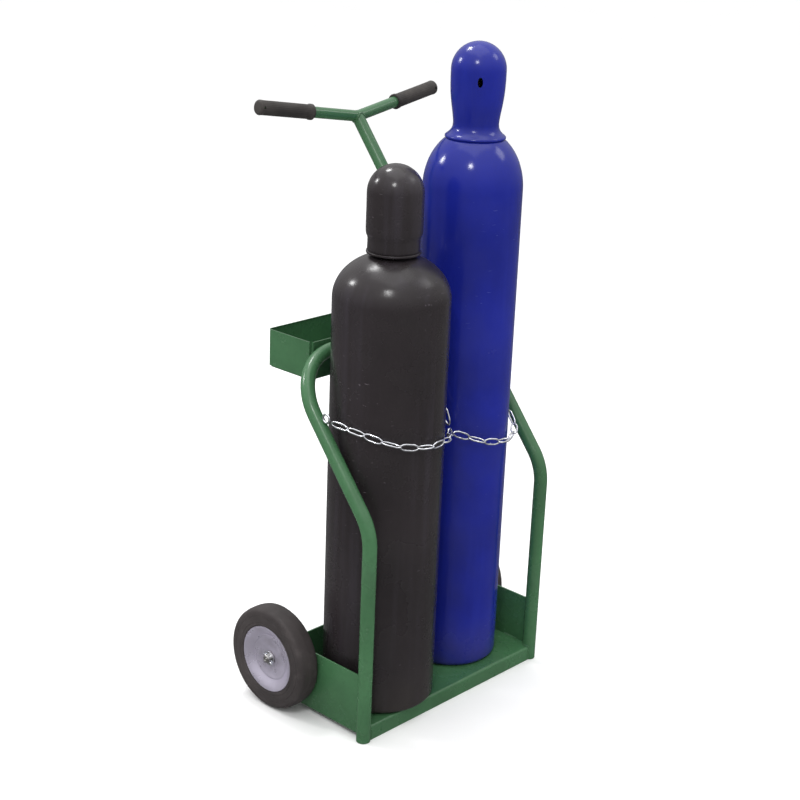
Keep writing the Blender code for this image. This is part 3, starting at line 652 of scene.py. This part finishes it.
def make_grips():
    """Moulded sleeves: raised collar, fine lengthwise ribs, rounded end with a hanging hole."""
    for side, word in ((-1, "left"), (1, "right")):
        tip = handle_end(side)
        start = HANDLE_MID.lerp(tip, GRIP_INNER_X / HANDLE_HALF)
        length = (tip - start).length + 0.004
        bore = HANDLE_R + PLAY
        outline = [(bore, length - 0.0045), (bore, 0.0), (GRIP_R + 0.0004, 0.0)]
        outline += [(GRIP_R + 0.0013, 0.0008), (GRIP_R + 0.0013, 0.0052), (GRIP_R + 0.0002, 0.0064)]
        ribbed_from = len(outline)
        outline += [(GRIP_R, 0.0072 + (length - 0.0155) * i / 10) for i in range(11)]
        ribbed_to = len(outline)
        outline += [(GRIP_R, length - 0.0065), (GRIP_R + 0.0004, length - 0.0055)]
        outline += arc((GRIP_R - 0.0036, length - 0.004), 0.004, 0, 90, 6)
        outline = [(0.0, length - 0.0045)] + outline + [(0.0, length)]
        turn = Vector((0, 0, 1)).rotation_difference(tip - start).to_matrix().to_4x4()
        sleeve = lathe(outline, 96)
        low, high = outline[ribbed_from + 1][1] - 1e-5, outline[ribbed_to][1] + 1e-5
        for vert in sleeve.verts:
            if low < vert.co.z < high and math.hypot(vert.co.x, vert.co.y) > GRIP_R - 0.0003:
                angle = math.atan2(vert.co.y, vert.co.x)
                drop = 1.0 - 0.030 * (0.5 - 0.5 * math.cos(angle * 24)) ** 2
                vert.co.x *= drop
                vert.co.y *= drop
        hole = rod((0, -0.03, length - 0.0068), (0, 0.0, length - 0.0068), 0.0022, 20)
        sleeve = carve(sleeve, [hole])
        bmesh.ops.transform(sleeve, matrix=Matrix.Translation(start) @ turn, verts=sleeve.verts)
        piece(word + "_hand_grip", sleeve, GRIP, "cart_frame", [word + "_grip"], "grip_rubber", sharp_deg=50)


def upright_seam(x, y, low, high):
    return [at(x, y, low), at(x, y, high)]


def cross_seam(start, end, y, z):
    return [at(start, y, z), at(end, y, z)]


def make_frame_welds():
    """Short beads where the plates, tubes and tray of the frame meet."""
    lines = []
    for side in (-1, 1):
        inner = side * (SIDE_X - 0.0008)
        outer = side * (SIDE_X + SHEET + 0.001)
        lip_x = side * (LEG_X - TUBE_R + 0.0012)
        for low, high in ((0.030, 0.060), (0.088, 0.118)):
            lines.append((upright_seam(outer, TUBE_R - 0.0004, low, high), 0.0020))
            lines.append((upright_seam(inner, TUBE_R - 0.0008, low, high), 0.0020))
        for near, far in ((0.030, 0.062), (0.100, 0.130), (0.162, 0.186)):
            lines.append(([at(inner, near, FLOOR_TOP + 0.0004), at(inner, far, FLOOR_TOP + 0.0004)], 0.0017))
        lines.append((upright_seam(inner, REAR_Y - 0.0005, 0.036, 0.118), 0.0018))
        turns = [math.radians(a) for a in range(-40, 41, 8)]
        foot = [at(side * (LEG_X - TUBE_R * math.cos(a)), -TUBE_R * math.sin(a), FLOOR_TOP + 0.0005)
                for a in turns]
        lines.append((foot, 0.0018))
        lines.append((upright_seam(lip_x, LIP_Y + 0.0002, 0.003, 0.022), 0.0018))
        for x in (0.030, 0.092):
            for z in (0.6555, 0.6470):
                seam = cross_seam(side * x, side * (x + 0.026), BAR_Y + TUBE_R - 0.0015, z)
                lines.append((seam, 0.0019))
            seam = cross_seam(side * x, side * (x + 0.030), REAR_Y + SHEET + 0.0002, WHEEL_R + 0.0062)
            lines.append((seam, 0.0020))
        lines.append((upright_seam(side * 0.0045, MAST_Y + MAST_R - 0.0004, 0.640, 0.663), 0.0019))
    for x in (-0.190, -0.120, -0.040, 0.030, 0.110, 0.170):
        lines.append((cross_seam(x, x + 0.024, REAR_Y - 0.0006, FLOOR_TOP + 0.0004), 0.0016))
    whole = bmesh.new()
    for i, (path, size) in enumerate(lines):
        bead(path, size, float(i), builder=whole)
    ring = [at(MAST_R * math.cos(a), MAST_Y + MAST_R * math.sin(a), FLOOR_TOP + 0.0006)
            for a in (math.tau * k / 36 for k in range(37))]
    bead(ring, 0.0020, 77.0, builder=whole, closed=True)
    weld_piece("frame_welds", whole, sharp_deg=60)


# ---------------------------------------------------------------- wheels and axle

def on_axle(side, x):
    """Z of the turned piece points outwards along the axle."""
    return Matrix.Translation(at(side * x, AXLE_Y, WHEEL_R)) @ Matrix.Rotation(side * math.pi / 2, 4, "Y")


def disc_outline():
    """One pressed wheel half: rolled rim, cone down to a flat centre, raised ring and hub seat."""
    face = WHEEL_W / 2 - 0.0015
    dish = face - 0.012
    top = [(0.0127, dish + 0.0026), (0.0150, dish + 0.0026), (0.0165, dish + 0.0016)]
    top += [(0.0365, dish + 0.0016), (0.0385, dish + 0.0030), (0.0405, dish + 0.0030)]
    top += [(0.0425, dish + 0.0020), (0.0440, dish + 0.0028), (0.0480, face - 0.0064)]
    top += [(0.0520, face - 0.0036), (0.0555, face - 0.0016), (0.0580, face - 0.0008)]
    top += [(0.0598, face - 0.0004), (0.0610, face), (RIM_R - 0.0003, face - 0.0003)]
    under = [(r - 0.0004, z - 0.0015) for r, z in reversed(top[:-1])]
    return top + [(RIM_R - 0.0002, face - 0.010), (RIM_R - 0.0018, face - 0.010)] + under


def tyre_outline():
    """Solid tyre: two fine grooves in each side, round shoulders and a slightly crowned tread."""
    half = WHEEL_W / 2
    shoulder = 0.009
    tread = WHEEL_R - 0.0012
    groove = half - 0.0005
    side = [(RIM_R + 0.0001, half - 0.0030), (RIM_R + 0.0012, half - 0.0008), (RIM_R + 0.0030, half)]
    side += [(0.0680, half), (0.0686, groove), (0.0694, groove), (0.0700, half)]
    side += [(0.0800, half), (0.0806, groove), (0.0812, half)]
    side += arc((tread - shoulder, half - shoulder), shoulder, 84, 10, 8)
    crown = [(WHEEL_R - 0.0004, half * 0.40), (WHEEL_R - 0.0001, half * 0.05), (WHEEL_R, 0.0004)]
    outline = side + crown
    return outline + [(r, -z) for r, z in reversed(outline)]


def make_wheels():
    for side, word in ((-1, "left"), (1, "right")):
        body = word + "_wheel"
        place = on_axle(side, WHEEL_X)
        back = place @ Matrix.Rotation(math.pi, 4, "X")
        tyre = lathe(tyre_outline(), 120, place)
        piece(body + "_tyre", tyre, TYRE, body, [word + "_tyre"], "tyre_rubber")
        for half, turned, node in (("_face", place, "_outer_disc"), ("_back", back, "_inner_disc")):
            disc = lathe(disc_outline(), 96, turned)
            piece(body + half, disc, DISC, body, [word + node], "wheel_disc_paint", sharp_deg=50)
        hub = HUB_HALF
        sleeve = [(0.0101, -hub), (0.0119, -hub), (0.0125, -hub + 0.0006), (0.0125, hub - 0.0006),
                  (0.0119, hub), (0.0101, hub)]
        piece(body + "_hub", lathe(sleeve, 48, place), STEEL, body, [word + "_hub_sleeve"], "bare_steel")
        bush = lathe([(BORE_R, -hub), (0.0099, -hub), (0.0099, hub), (BORE_R, hub)], 48, place)
        piece(body + "_bush", bush, NYLON, body, [word + "_hub_bush"], "nylon_bush", bevel=0.0002)


def make_axle():
    """Axle with dimpled ends, and on each side a spacer, a washer and a split pin."""
    tip = AXLE_TIP
    outline = [(0.0, -tip), (0.0022, -tip), (0.0030, -tip + 0.0012), (0.0036, -tip), (AXLE_R - 0.0015, -tip),
               (AXLE_R, -tip + 0.0015), (AXLE_R, tip - 0.0015), (AXLE_R - 0.0015, tip), (0.0036, tip),
               (0.0030, tip - 0.0012), (0.0022, tip), (0.0, tip)]
    washer_low = WHEEL_X + WHEEL_W / 2 - HUB_RECESS + GAP
    pin_x = washer_low + WASHER + GAP + PIN_R
    holes = [rod(at(s * pin_x, AXLE_Y - 0.02, WHEEL_R - 0.016), at(s * pin_x, AXLE_Y + 0.02, WHEEL_R + 0.016),
                 0.0017, 20) for s in (-1, 1)]
    shaft = carve(lathe(outline, 48, on_axle(1, 0.0)), holes)
    piece("axle_shaft", shaft, STEEL, "cart_frame", ["axle"], "bare_steel")
    washer = [(BORE_R, 0), (0.0132, 0), (0.0135, 0.0003), (0.0135, 0.0015), (0.0132, WASHER),
              (BORE_R, WASHER)]
    spacer_low = SIDE_X + SHEET + GAP
    room = WHEEL_X - (WHEEL_W / 2 - HUB_RECESS) - GAP - spacer_low
    collar = [(BORE_R, 0), (0.0120, 0), (0.0125, 0.0005), (0.0125, room - 0.0005), (0.0120, room),
              (BORE_R, room)]
    for side, word in ((-1, "left"), (1, "right")):
        for part, shape, low in (("_washer", washer, washer_low), ("_spacer", collar, spacer_low)):
            zinc_piece(word + part, lathe(shape, 48, on_axle(side, low)), word + "_axle" + part)
        make_split_pin(side, word, pin_x)


def make_split_pin(side, word, pin_x):
    """Split pin: an eye, two half-round legs through the axle, and the ends bent round it."""
    centre = at(side * pin_x, AXLE_Y, WHEEL_R)
    run = Vector((0, 0.78, 0.625)).normalized()
    cross = run.cross(Vector((1, 0, 0))).normalized()
    builder = bmesh.new()
    eye_r = 0.0021
    eye = [centre + run * (-0.0108 - eye_r + eye_r * math.cos(a)) + cross * (eye_r * math.sin(a))
           for a in [math.radians(d) for d in range(30, 331, 15)]]
    tube(eye, 0.0007, 10, builder=builder)
    straight = 0.0092
    bend_r = 0.0026
    for offset, bend in ((0.00072, 1.0), (-0.00072, -1.0)):
        leg = [centre + run * s + cross * offset for s in (-0.0112, -0.006, 0.0, 0.006, straight)]
        for a in [math.radians(d) for d in (15, 30, 45, 60)]:
            outwards = cross * (offset + bend * bend_r * (1 - math.cos(a)))
            leg.append(centre + run * (straight + bend_r * math.sin(a)) + outwards)
        leg.append(leg[-1] + (leg[-1] - leg[-2]).normalized() * 0.0032)
        tube(leg, 0.00068, 10, builder=builder)
    zinc_piece(word + "_split_pin", builder, word + "_cotter_pin", sharp_deg=60)


# ---------------------------------------------------------------- gas cylinders

def at_axis(gas):
    x, y = gas_axis(gas)
    return Matrix.Translation((x, y, 0.0))


def shell_outline(radius, dome_low, dome_rise, neck_top):
    """Rounded foot, straight wall, elliptical dome and a bored neck, and where the neck starts."""
    base = FLOOR_TOP + GAP
    neck_r = 0.030
    foot_r = 0.0105
    neck_base = dome_low + dome_rise * math.sqrt(1 - (neck_r / radius) ** 2)
    outline = [(0.0, base + 0.006), (radius * 0.45, base + 0.0045), (radius - 0.022, base + 0.0004)]
    outline += [(radius - 0.012, base)] + arc((radius - foot_r, base + foot_r), foot_r, -80, 0, 8)
    outline += [(radius, base + foot_r + (dome_low - base - foot_r) * i / 24) for i in range(1, 24)]
    limit = math.acos(neck_r / radius)
    for i in range(25):
        angle = limit * i / 24
        outline.append((radius * math.cos(angle), dome_low + dome_rise * math.sin(angle)))
    outline += [(0.0286, neck_base + 0.0006), (0.0280, neck_base + 0.0020), (0.0280, neck_top - 0.0006),
                (0.0274, neck_top), (NECK_BORE_R + 0.0004, neck_top), (NECK_BORE_R, neck_top - 0.0006),
                (NECK_BORE_R, neck_base - 0.010), (0.0, neck_base - 0.012)]
    return outline, neck_base


def make_shell(gas, look, slot, dome_low, dome_rise, neck_top, ring_r, flange_r):
    """A bottle whose wall is slightly uneven, and the ribbed collar round its neck."""
    radius = BOTTLE_R[gas]
    body = gas + "_cylinder"
    outline, neck_base = shell_outline(radius, dome_low, dome_rise, neck_top)
    shell = lathe(outline, 160, at_axis(gas))
    axis = Vector((*gas_axis(gas), 0.0))
    for vert in shell.verts:
        spoke = Vector((vert.co.x - axis.x, vert.co.y - axis.y, 0))
        if spoke.length > radius * 0.9:
            uneven = noise.noise(Vector((vert.co.x * 9, vert.co.y * 9, vert.co.z * 4))) * 0.00025
            vert.co -= spoke.normalized() * (0.00025 + uneven)
    piece(gas + "_bottle", shell, look, body, [gas + "_cylinder_shell"], slot)
    low = neck_base + 0.002 + GAP
    bore = 0.0283
    ring = [(bore, low), (flange_r - 0.0006, low), (flange_r, low + 0.0006), (flange_r, low + 0.0034),
            (flange_r - 0.0006, low + 0.0040), (ring_r, low + 0.0042)]
    turns = 4
    first = low + 0.0044
    pitch = (neck_top - first - 0.0006) / turns
    for i in range(turns):
        ring += [(ring_r, first + pitch * (i + 0.3)), (ring_r - 0.0012, first + pitch * (i + 0.6)),
                 (ring_r, first + pitch * (i + 0.95))]
    ring += [(ring_r - 0.0006, neck_top), (bore, neck_top)]
    piece(gas + "_collar", lathe(ring, 96, at_axis(gas)), look, body, [gas + "_neck_ring"], slot,
          sharp_deg=50)


def cap_walls(points):
    """Closed outline of a cap: the outside, and the inside one wall in from it."""
    wall = CAP_WALL
    inner = []
    for (r0, z0), (r1, z1), (r2, z2) in zip(points, points[1:], points[2:]):
        along = Vector((r2 - r0, z2 - z0)).normalized()
        inner.append((max(r1 - wall * along.y, 0.0005), z1 + wall * along.x))
    rim = (points[0][0] - wall, points[0][1])
    return [(0.0, points[-1][1] - wall)] + inner[::-1] + [rim] + list(points)


def make_cap(gas, look, slot, outline, vent_z, vent_deg):
    """Hollow cap with a tall vent cut right through it."""
    shell = lathe(cap_walls(outline), 128, at_axis(gas))
    reach = around(Vector((1, 0, 0)), Vector((0, 1, 0)), math.radians(vent_deg)) * 0.08
    middle = Vector((*gas_axis(gas), vent_z))
    vent = tube([middle - reach, middle + reach], VENT_R, 32)
    bmesh.ops.scale(vent, vec=(1, 1, VENT_STRETCH), verts=vent.verts, space=Matrix.Translation(-middle))
    piece(gas + "_valve_cap", carve(shell, [vent]), look, gas + "_cap", [gas + "_cap"], slot, sharp_deg=40,
          bevel=0.0005)


def cap_crown(crown):
    return arc((0.0, crown), CAP_R, 0, 90, 26)[:-1] + [(0.0, crown + CAP_R)]


def make_acetylene():
    make_shell("acetylene", BLACK_GAS, "acetylene_paint", dome_low=0.770, dome_rise=0.080, neck_top=0.866,
               ring_r=0.0405, flange_r=0.0465)
    rim = 0.8535
    crown = 0.9505
    side_low = rim + 0.036
    outline = [(0.0440, rim), (0.0445, rim + 0.0006), (0.0447, rim + 0.004), (0.0445, rim + 0.010),
               (0.0445, rim + 0.020), (0.0452, rim + 0.0235), (0.0468, rim + 0.0265), (0.0477, rim + 0.031)]
    outline += [(CAP_R, side_low)]
    outline += [(CAP_R, side_low + (crown - rim - 0.036) * i / 8) for i in range(1, 8)] + cap_crown(crown)
    make_cap("acetylene", BLACK_GAS, "acetylene_paint", outline, vent_z=0.925, vent_deg=-47.0)


def make_oxygen():
    make_shell("oxygen", BLUE_GAS, "oxygen_paint", dome_low=0.929, dome_rise=0.106, neck_top=1.040,
               ring_r=0.0355, flange_r=0.0358)
    rim = 1.0168
    outline = [(0.0531, rim), (0.0535, rim + 0.0005), (0.0535, rim + 0.0026), (0.0522, rim + 0.0042),
               (0.0490, rim + 0.0066), (0.0455, rim + 0.0098), (0.0425, rim + 0.0138), (0.0406, rim + 0.0185),
               (0.0400, rim + 0.0240), (0.0404, rim + 0.0300), (0.0414, rim + 0.0380), (0.0428, rim + 0.0470),
               (0.0443, rim + 0.0560), (0.0457, rim + 0.0660), (0.0469, rim + 0.0770), (0.0476, rim + 0.0890),
               (CAP_R, rim + 0.1020)]
    make_cap("oxygen", BLUE_GAS, "oxygen_paint", outline + cap_crown(1.1335), vent_z=1.117, vent_deg=45.0)


def dress_cad_nodes():
    """Valve parts keep their CAD shapes and get procedural finishes."""
    looks = {"valve_body": BRASS, "safety_plug": BRASS, "bonnet_nut": BRASS, "valve_spindle": STEEL,
             "handwheel_nut": ZINC}
    for gas, wheel_look in (("acetylene", ZINC), ("oxygen", GREEN)):
        for part, look in [*looks.items(), ("handwheel", wheel_look)]:
            node = frame["nodes"][gas + "_" + part]
            node.data.materials.clear()
            node.data.materials.append(look)


# ---------------------------------------------------------------- retaining chain

LEFT_ROUTE = [(-0.2275, 0.100, 0.5665), (-0.2240, 0.083, 0.5650), (-0.2180, 0.052, 0.5620),
              (-0.2070, 0.0250, 0.5550), (-0.1890, 0.0010, 0.5470), (-0.1680, -0.0150, 0.5410),
              (-0.1370, -0.0275, 0.5365), (-0.1070, -0.0300, 0.5345), (-0.0680, -0.0210, 0.5320),
              (-0.0390, -0.0020, 0.5270), (-0.0170, 0.0180, 0.5190), (-0.0070, 0.0280, 0.5145)]
RIGHT_ROUTE = [(0.0140, 0.0360, 0.5090), (0.0300, 0.0310, 0.5020), (0.0500, 0.0190, 0.4930),
               (0.0780, 0.0075, 0.4840), (0.1070, 0.0030, 0.4790), (0.1350, 0.0080, 0.4760),
               (0.1580, 0.0170, 0.4765), (0.1820, 0.0320, 0.4800), (0.1960, 0.0500, 0.4890),
               (0.2025, 0.0660, 0.4985)]
CENTRE_ROUTE = [(0.0050, 0.0420, 0.5260), (0.0060, 0.0660, 0.5780), (0.0050, 0.0950, 0.6410),
                (0.0030, 0.1240, 0.7090), (0.0000, 0.1520, 0.7850)]
LINK_L = 0.0365
LINK_W = 0.0142
WIRE_R = 0.0016
LINK_WELD = 1.22                  # thickness of a link's weld over its wire
JUNCTION = (0.002, 0.036, 0.512)
JUNCTION_MAJOR = 0.0085
JUNCTION_WIRE = 0.0016
LEFT_EYE_Z = 0.5575
RIGHT_EYE_Z = 0.500
MAST_EYE_Z = 0.800
EYE_MAJOR = 0.0075
EYE_WIRE = 0.0020
EYE_REACH = GAP + EYE_MAJOR + EYE_WIRE


def link(builder, start, end, face):
    """One welded link whose ends hook over the points start and end. face is normal to its flat side."""
    along = (end - start).normalized()
    face = (face - along * along.dot(face)).normalized()
    side = along.cross(face)
    centre = (start + end) / 2
    half_len = (end - start).length / 2 + WIRE_R * 0.9
    half_wide = LINK_W / 2 - WIRE_R
    bow = ((-1.0, 1.75), (-0.80, 1.05), (-0.42, 0.28), (0.0, 0.0), (0.42, 0.28), (0.80, 1.05), (1.0, 1.75))
    points = []
    for sign in (1, -1):
        for wide, back in bow:
            points.append(centre + along * sign * (half_len - half_wide * back)
                          + side * sign * half_wide * wide)
    ring = resample(points + [points[0]], 0.0022)[:-1]
    weld = min(range(len(ring)), key=lambda i: (ring[i] - centre - side * half_wide).length)
    radii = [WIRE_R * (LINK_WELD if i == weld else 1.0) for i in range(len(ring))]
    tube(ring, radii, 10, closed=True, builder=builder)


def surface_normal(point):
    """Outward direction of the nearer cylinder at a point beside it."""
    best = None
    for gas, radius in BOTTLE_R.items():
        x, y = gas_axis(gas)
        spoke = Vector((point.x - x, point.y - y, 0))
        clear = spoke.length - radius
        if best is None or clear < best[0]:
            best = (clear, spoke.normalized())
    return best[1]


def make_chain():
    """Three spans of links, turned by about a right angle from one to the next."""
    spans = (("left", LEFT_ROUTE, 0.0), ("right", RIGHT_ROUTE, 1.0), ("centre", CENTRE_ROUTE, 2.0))
    for word, route, seed in spans:
        path = smooth_route([at(*p) for p in route], 10)
        joints_at = resample(path, LINK_L - 3.1 * WIRE_R)
        builder = bmesh.new()
        chance = random.Random(seed)
        for i, (start, end) in enumerate(zip(joints_at, joints_at[1:])):
            along = (end - start).normalized()
            normal = surface_normal((start + end) / 2)
            roll = (6 if i % 2 == 0 else -80) + chance.uniform(-9, 9)
            link(builder, start, end, Matrix.Rotation(math.radians(roll), 3, along) @ normal)
        zinc_piece("chain_links_" + word, builder, "chain_" + word + "_span", sharp_deg=70)


def wire_ring(name, centre, across, up, major, minor, node):
    loop = [centre + around(across, up, math.tau * k / 36) * major for k in range(36)]
    zinc_piece(name, tube(loop, minor, 16, closed=True), node)


def make_chain_fixings():
    """Eyes welded to the legs and mast, and the ring where the three spans meet."""
    sideways = Vector((1, 0, 0))
    along = (leg_point(1, BAR_Z) - leg_point(1, KNEE_Z)).normalized()
    forward = Vector((0, -along.z, along.y))
    for word, side, z, away in (("left", -1, LEFT_EYE_Z, forward), ("right", 1, RIGHT_EYE_Z, -sideways)):
        centre = leg_point(side, z) + away * (TUBE_R + EYE_REACH)
        wire_ring(word + "_eye", centre, along, away, EYE_MAJOR, EYE_WIRE, word + "_chain_eye")
        base = leg_point(side, z) + away * (TUBE_R + 0.0006)
        seam = [base - along * 0.0045, base, base + along * 0.0045]
        weld_piece(word + "_eye_weld", bead(seam, 0.0024, 5.0 + side), sharp_deg=60)
    centre = at(0, MAST_Y - MAST_R - EYE_REACH, MAST_EYE_Z)
    up = Vector((0, 0, 1))
    wire_ring("mast_eye", centre, up, Vector((0, 1, 0)), EYE_MAJOR, EYE_WIRE, "mast_chain_eye")
    normal = Vector((0.35, -0.9, 0.1)).normalized()
    across = normal.cross(up).normalized()
    wire_ring("junction_ring", at(*JUNCTION), across, across.cross(normal), JUNCTION_MAJOR, JUNCTION_WIRE,
              "chain_ring")


# ---------------------------------------------------------------- camera, floor and light

def make_camera():
    """A camera that stands where the photo was taken from."""
    azimuth = math.radians(-47.17)
    elevation = math.radians(19.18)
    roll = math.radians(2.32)
    level = math.cos(elevation)
    back = Vector((math.sin(azimuth) * level, -math.cos(azimuth) * level, math.sin(elevation)))
    right = (-back).cross(Vector((0, 0, 1))).normalized()
    up = right.cross(-back)
    across = right * math.cos(roll) + up * math.sin(roll)
    upright = -right * math.sin(roll) + up * math.cos(roll)
    camera = bpy.data.cameras.new("camera")
    camera.sensor_width = 36.0
    camera.lens = 72.2
    camera.clip_end = 60.0
    holder = bpy.data.objects.new("camera", camera)
    turn = Matrix((across, upright, back)).transposed().to_4x4()
    holder.matrix_world = Matrix.Translation(at(-2.014, -1.710, 1.497)) @ turn
    bpy.context.scene.collection.objects.link(holder)
    bpy.context.scene.camera = holder


def area_light(name, spot, target, size, power):
    light = bpy.data.lights.new(name, "AREA")
    light.shape = "RECTANGLE"
    light.size = light.size_y = size
    light.energy = power
    holder = bpy.data.objects.new(name, light)
    holder.location = spot
    holder.rotation_mode = "QUATERNION"
    holder.rotation_quaternion = (Vector(spot) - Vector(target)).to_track_quat("Z", "Y")
    bpy.context.scene.collection.objects.link(holder)


def light_sky(tree):
    """Soft sky, bright overhead and dim from the horizon down, with a pale backdrop behind the cart."""
    background = tree.nodes["Background"]
    background.inputs["Color"].default_value = (1.0, 1.0, 1.0, 1.0)
    heading = tree.nodes.new("ShaderNodeTexCoord").outputs["Generated"]
    split = tree.nodes.new("ShaderNodeSeparateXYZ")
    tree.links.new(heading, split.inputs[0])
    fade = tree.nodes.new("ShaderNodeMapRange")
    tree.links.new(split.outputs["Z"], fade.inputs["Value"])
    for socket, value in (("From Min", -0.15), ("From Max", 1.0), ("To Min", 0.18), ("To Max", 1.50)):
        fade.inputs[socket].default_value = value
    backdrop = tree.nodes.new("ShaderNodeMix")
    seen = tree.nodes.new("ShaderNodeLightPath").outputs["Is Camera Ray"]
    tree.links.new(seen, backdrop.inputs["Factor"])
    tree.links.new(fade.outputs["Result"], backdrop.inputs["A"])
    backdrop.inputs["B"].default_value = 0.92
    tree.links.new(backdrop.outputs["Result"], background.inputs["Strength"])


def make_studio():
    """A pale floor that stays out of reflections, the sky, and lamps placed relative to the camera."""
    builder = bmesh.new()
    bmesh.ops.create_grid(builder, x_segments=2, y_segments=2, size=30.0)
    mesh = bpy.data.meshes.new("studio_floor")
    builder.to_mesh(mesh)
    builder.free()
    floor = bpy.data.objects.new("studio_floor", mesh)
    bpy.context.scene.collection.objects.link(floor)
    floor.location.z = -0.0005
    floor.visible_glossy = False
    look = Look("studio_floor")
    shade = look.mix(look.noise(1.5, 3.0), (0.90, 0.90, 0.90), (0.93, 0.93, 0.93))
    look.set(Base_Color=shade, Roughness=0.7)
    mesh.materials.append(look.material)
    world = bpy.data.worlds.new("studio")
    bpy.context.scene.world = world
    world.use_nodes = True
    light_sky(world.node_tree)
    heart = Vector((0.0, 0.0, 0.85))
    camera = bpy.context.scene.camera.matrix_world.to_3x3()
    lamps = (("ceiling", (-0.30, 0.95, -0.05), 2.6, 0.45, 24.0),
             ("side", (-0.84, 0.55, 0.0), 2.8, 0.40, 18.0),
             ("front", (-0.10, 0.36, 0.92), 3.4, 0.45, 26.0),
             ("far", (0.75, 0.60, 0.10), 3.2, 0.9, 10.0))
    for name, heading, distance, size, power in lamps:
        spot = heart + (camera @ Vector(heading)).normalized() * distance
        area_light(name, spot, heart, size, power)
    area_light("overhead", (0.0, 0.0, 4.2), heart, 3.0, 30.0)
    bpy.context.scene.view_settings.view_transform = "Standard"


make_camera()
make_studio()
make_frame()
make_base()
make_tray()
make_mast()
make_grips()
make_frame_welds()
make_wheels()
make_axle()
make_acetylene()
make_oxygen()
dress_cad_nodes()
make_chain()
make_chain_fixings()
